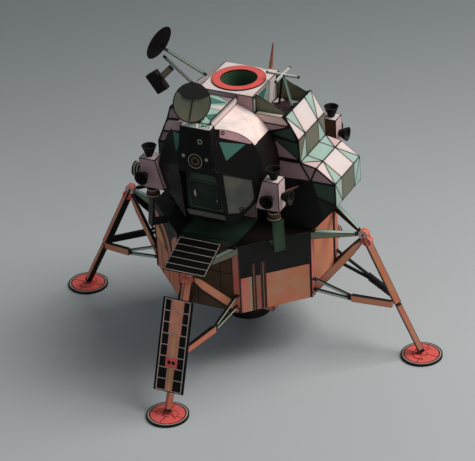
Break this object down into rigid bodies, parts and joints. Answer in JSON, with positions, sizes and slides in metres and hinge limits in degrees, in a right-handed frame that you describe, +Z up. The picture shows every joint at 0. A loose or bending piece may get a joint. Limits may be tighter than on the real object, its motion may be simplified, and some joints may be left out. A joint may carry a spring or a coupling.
{
  "type": "card model of a lunar lander",
  "caption": "Glued card model of a lunar lander: eight-sided lower stage on splayed legs with footpads, faceted upper stage, docking tunnel, dishes, porch and ladder.",
  "frame": {"origin": "on the table, midway between the four footpads", "axes": "+Z up; the front, with porch and ladder, faces -Y; the right-hand leg, seen from the front, points along +X"},
  "size_m": [0.1972, 0.1972, 0.1519],
  "materials": {
    "white_card": "matt printed white card with black ink lines",
    "copper_card": "matt copper-coloured printed card with soft mottling and black ink lines",
    "black_card": "matt black printed card",
    "green_card": "matt dark green printed card",
    "mint_card": "matt mint-grey printed card with black ink lines",
    "red_card": "matt coral-red printed card",
    "olive_card": "matt olive-grey printed card",
    "pale_grey_card": "matt brown-grey rolled card"
  },
  "bodies": {
    "root": {"descent_stage": "copper_card", "corner_posts": "copper_card", "base_skirt": "copper_card", "engine_bell": "black_card", "porch_deck": "green_card", "porch_grille": "black_card", "ladder": "black_card", "front_leg_strut": "copper_card", "right_leg_strut": "copper_card", "rear_leg_strut": "copper_card", "left_leg_strut": "copper_card", "front_leg_outrigger": "mint_card", "right_leg_outrigger": "mint_card", "rear_leg_outrigger": "mint_card", "left_leg_outrigger": "mint_card", "front_leg_braces": "copper_card", "right_leg_braces": "copper_card", "rear_leg_braces": "copper_card", "left_leg_braces": "copper_card", "front_leg_side_struts": "copper_card", "right_leg_side_struts": "copper_card", "rear_leg_side_struts": "copper_card", "left_leg_side_struts": "copper_card", "front_footpad": "red_card", "right_footpad": "red_card", "rear_footpad": "red_card", "left_footpad": "red_card", "plume_deflectors": "green_card", "cabin": "black_card", "front_column": "black_card", "front_hatch": "green_card", "middle_block": "white_card", "docking_ring": "red_card", "right_bay_upper": "white_card", "right_bay_lower": "white_card", "tray_lip": "white_card", "tray_gussets": "olive_card", "left_tank_bay": "white_card", "aft_bay": "white_card", "roof_spine": "mint_card", "roof_fin": "white_card", "thruster_boxes": "white_card", "thruster_nozzles": "black_card", "thruster_stacks": "pale_grey_card", "thruster_struts": "pale_grey_card", "radar_tray": "mint_card", "radar_mount": "mint_card", "radar_dish": "olive_card", "steerable_dish": "black_card", "dish_boom": "mint_card", "dish_arm": "olive_card", "dish_box": "black_card", "cross_antenna": "mint_card", "spike_antenna": "pale_grey_card"}
  },
  "joints": []
}
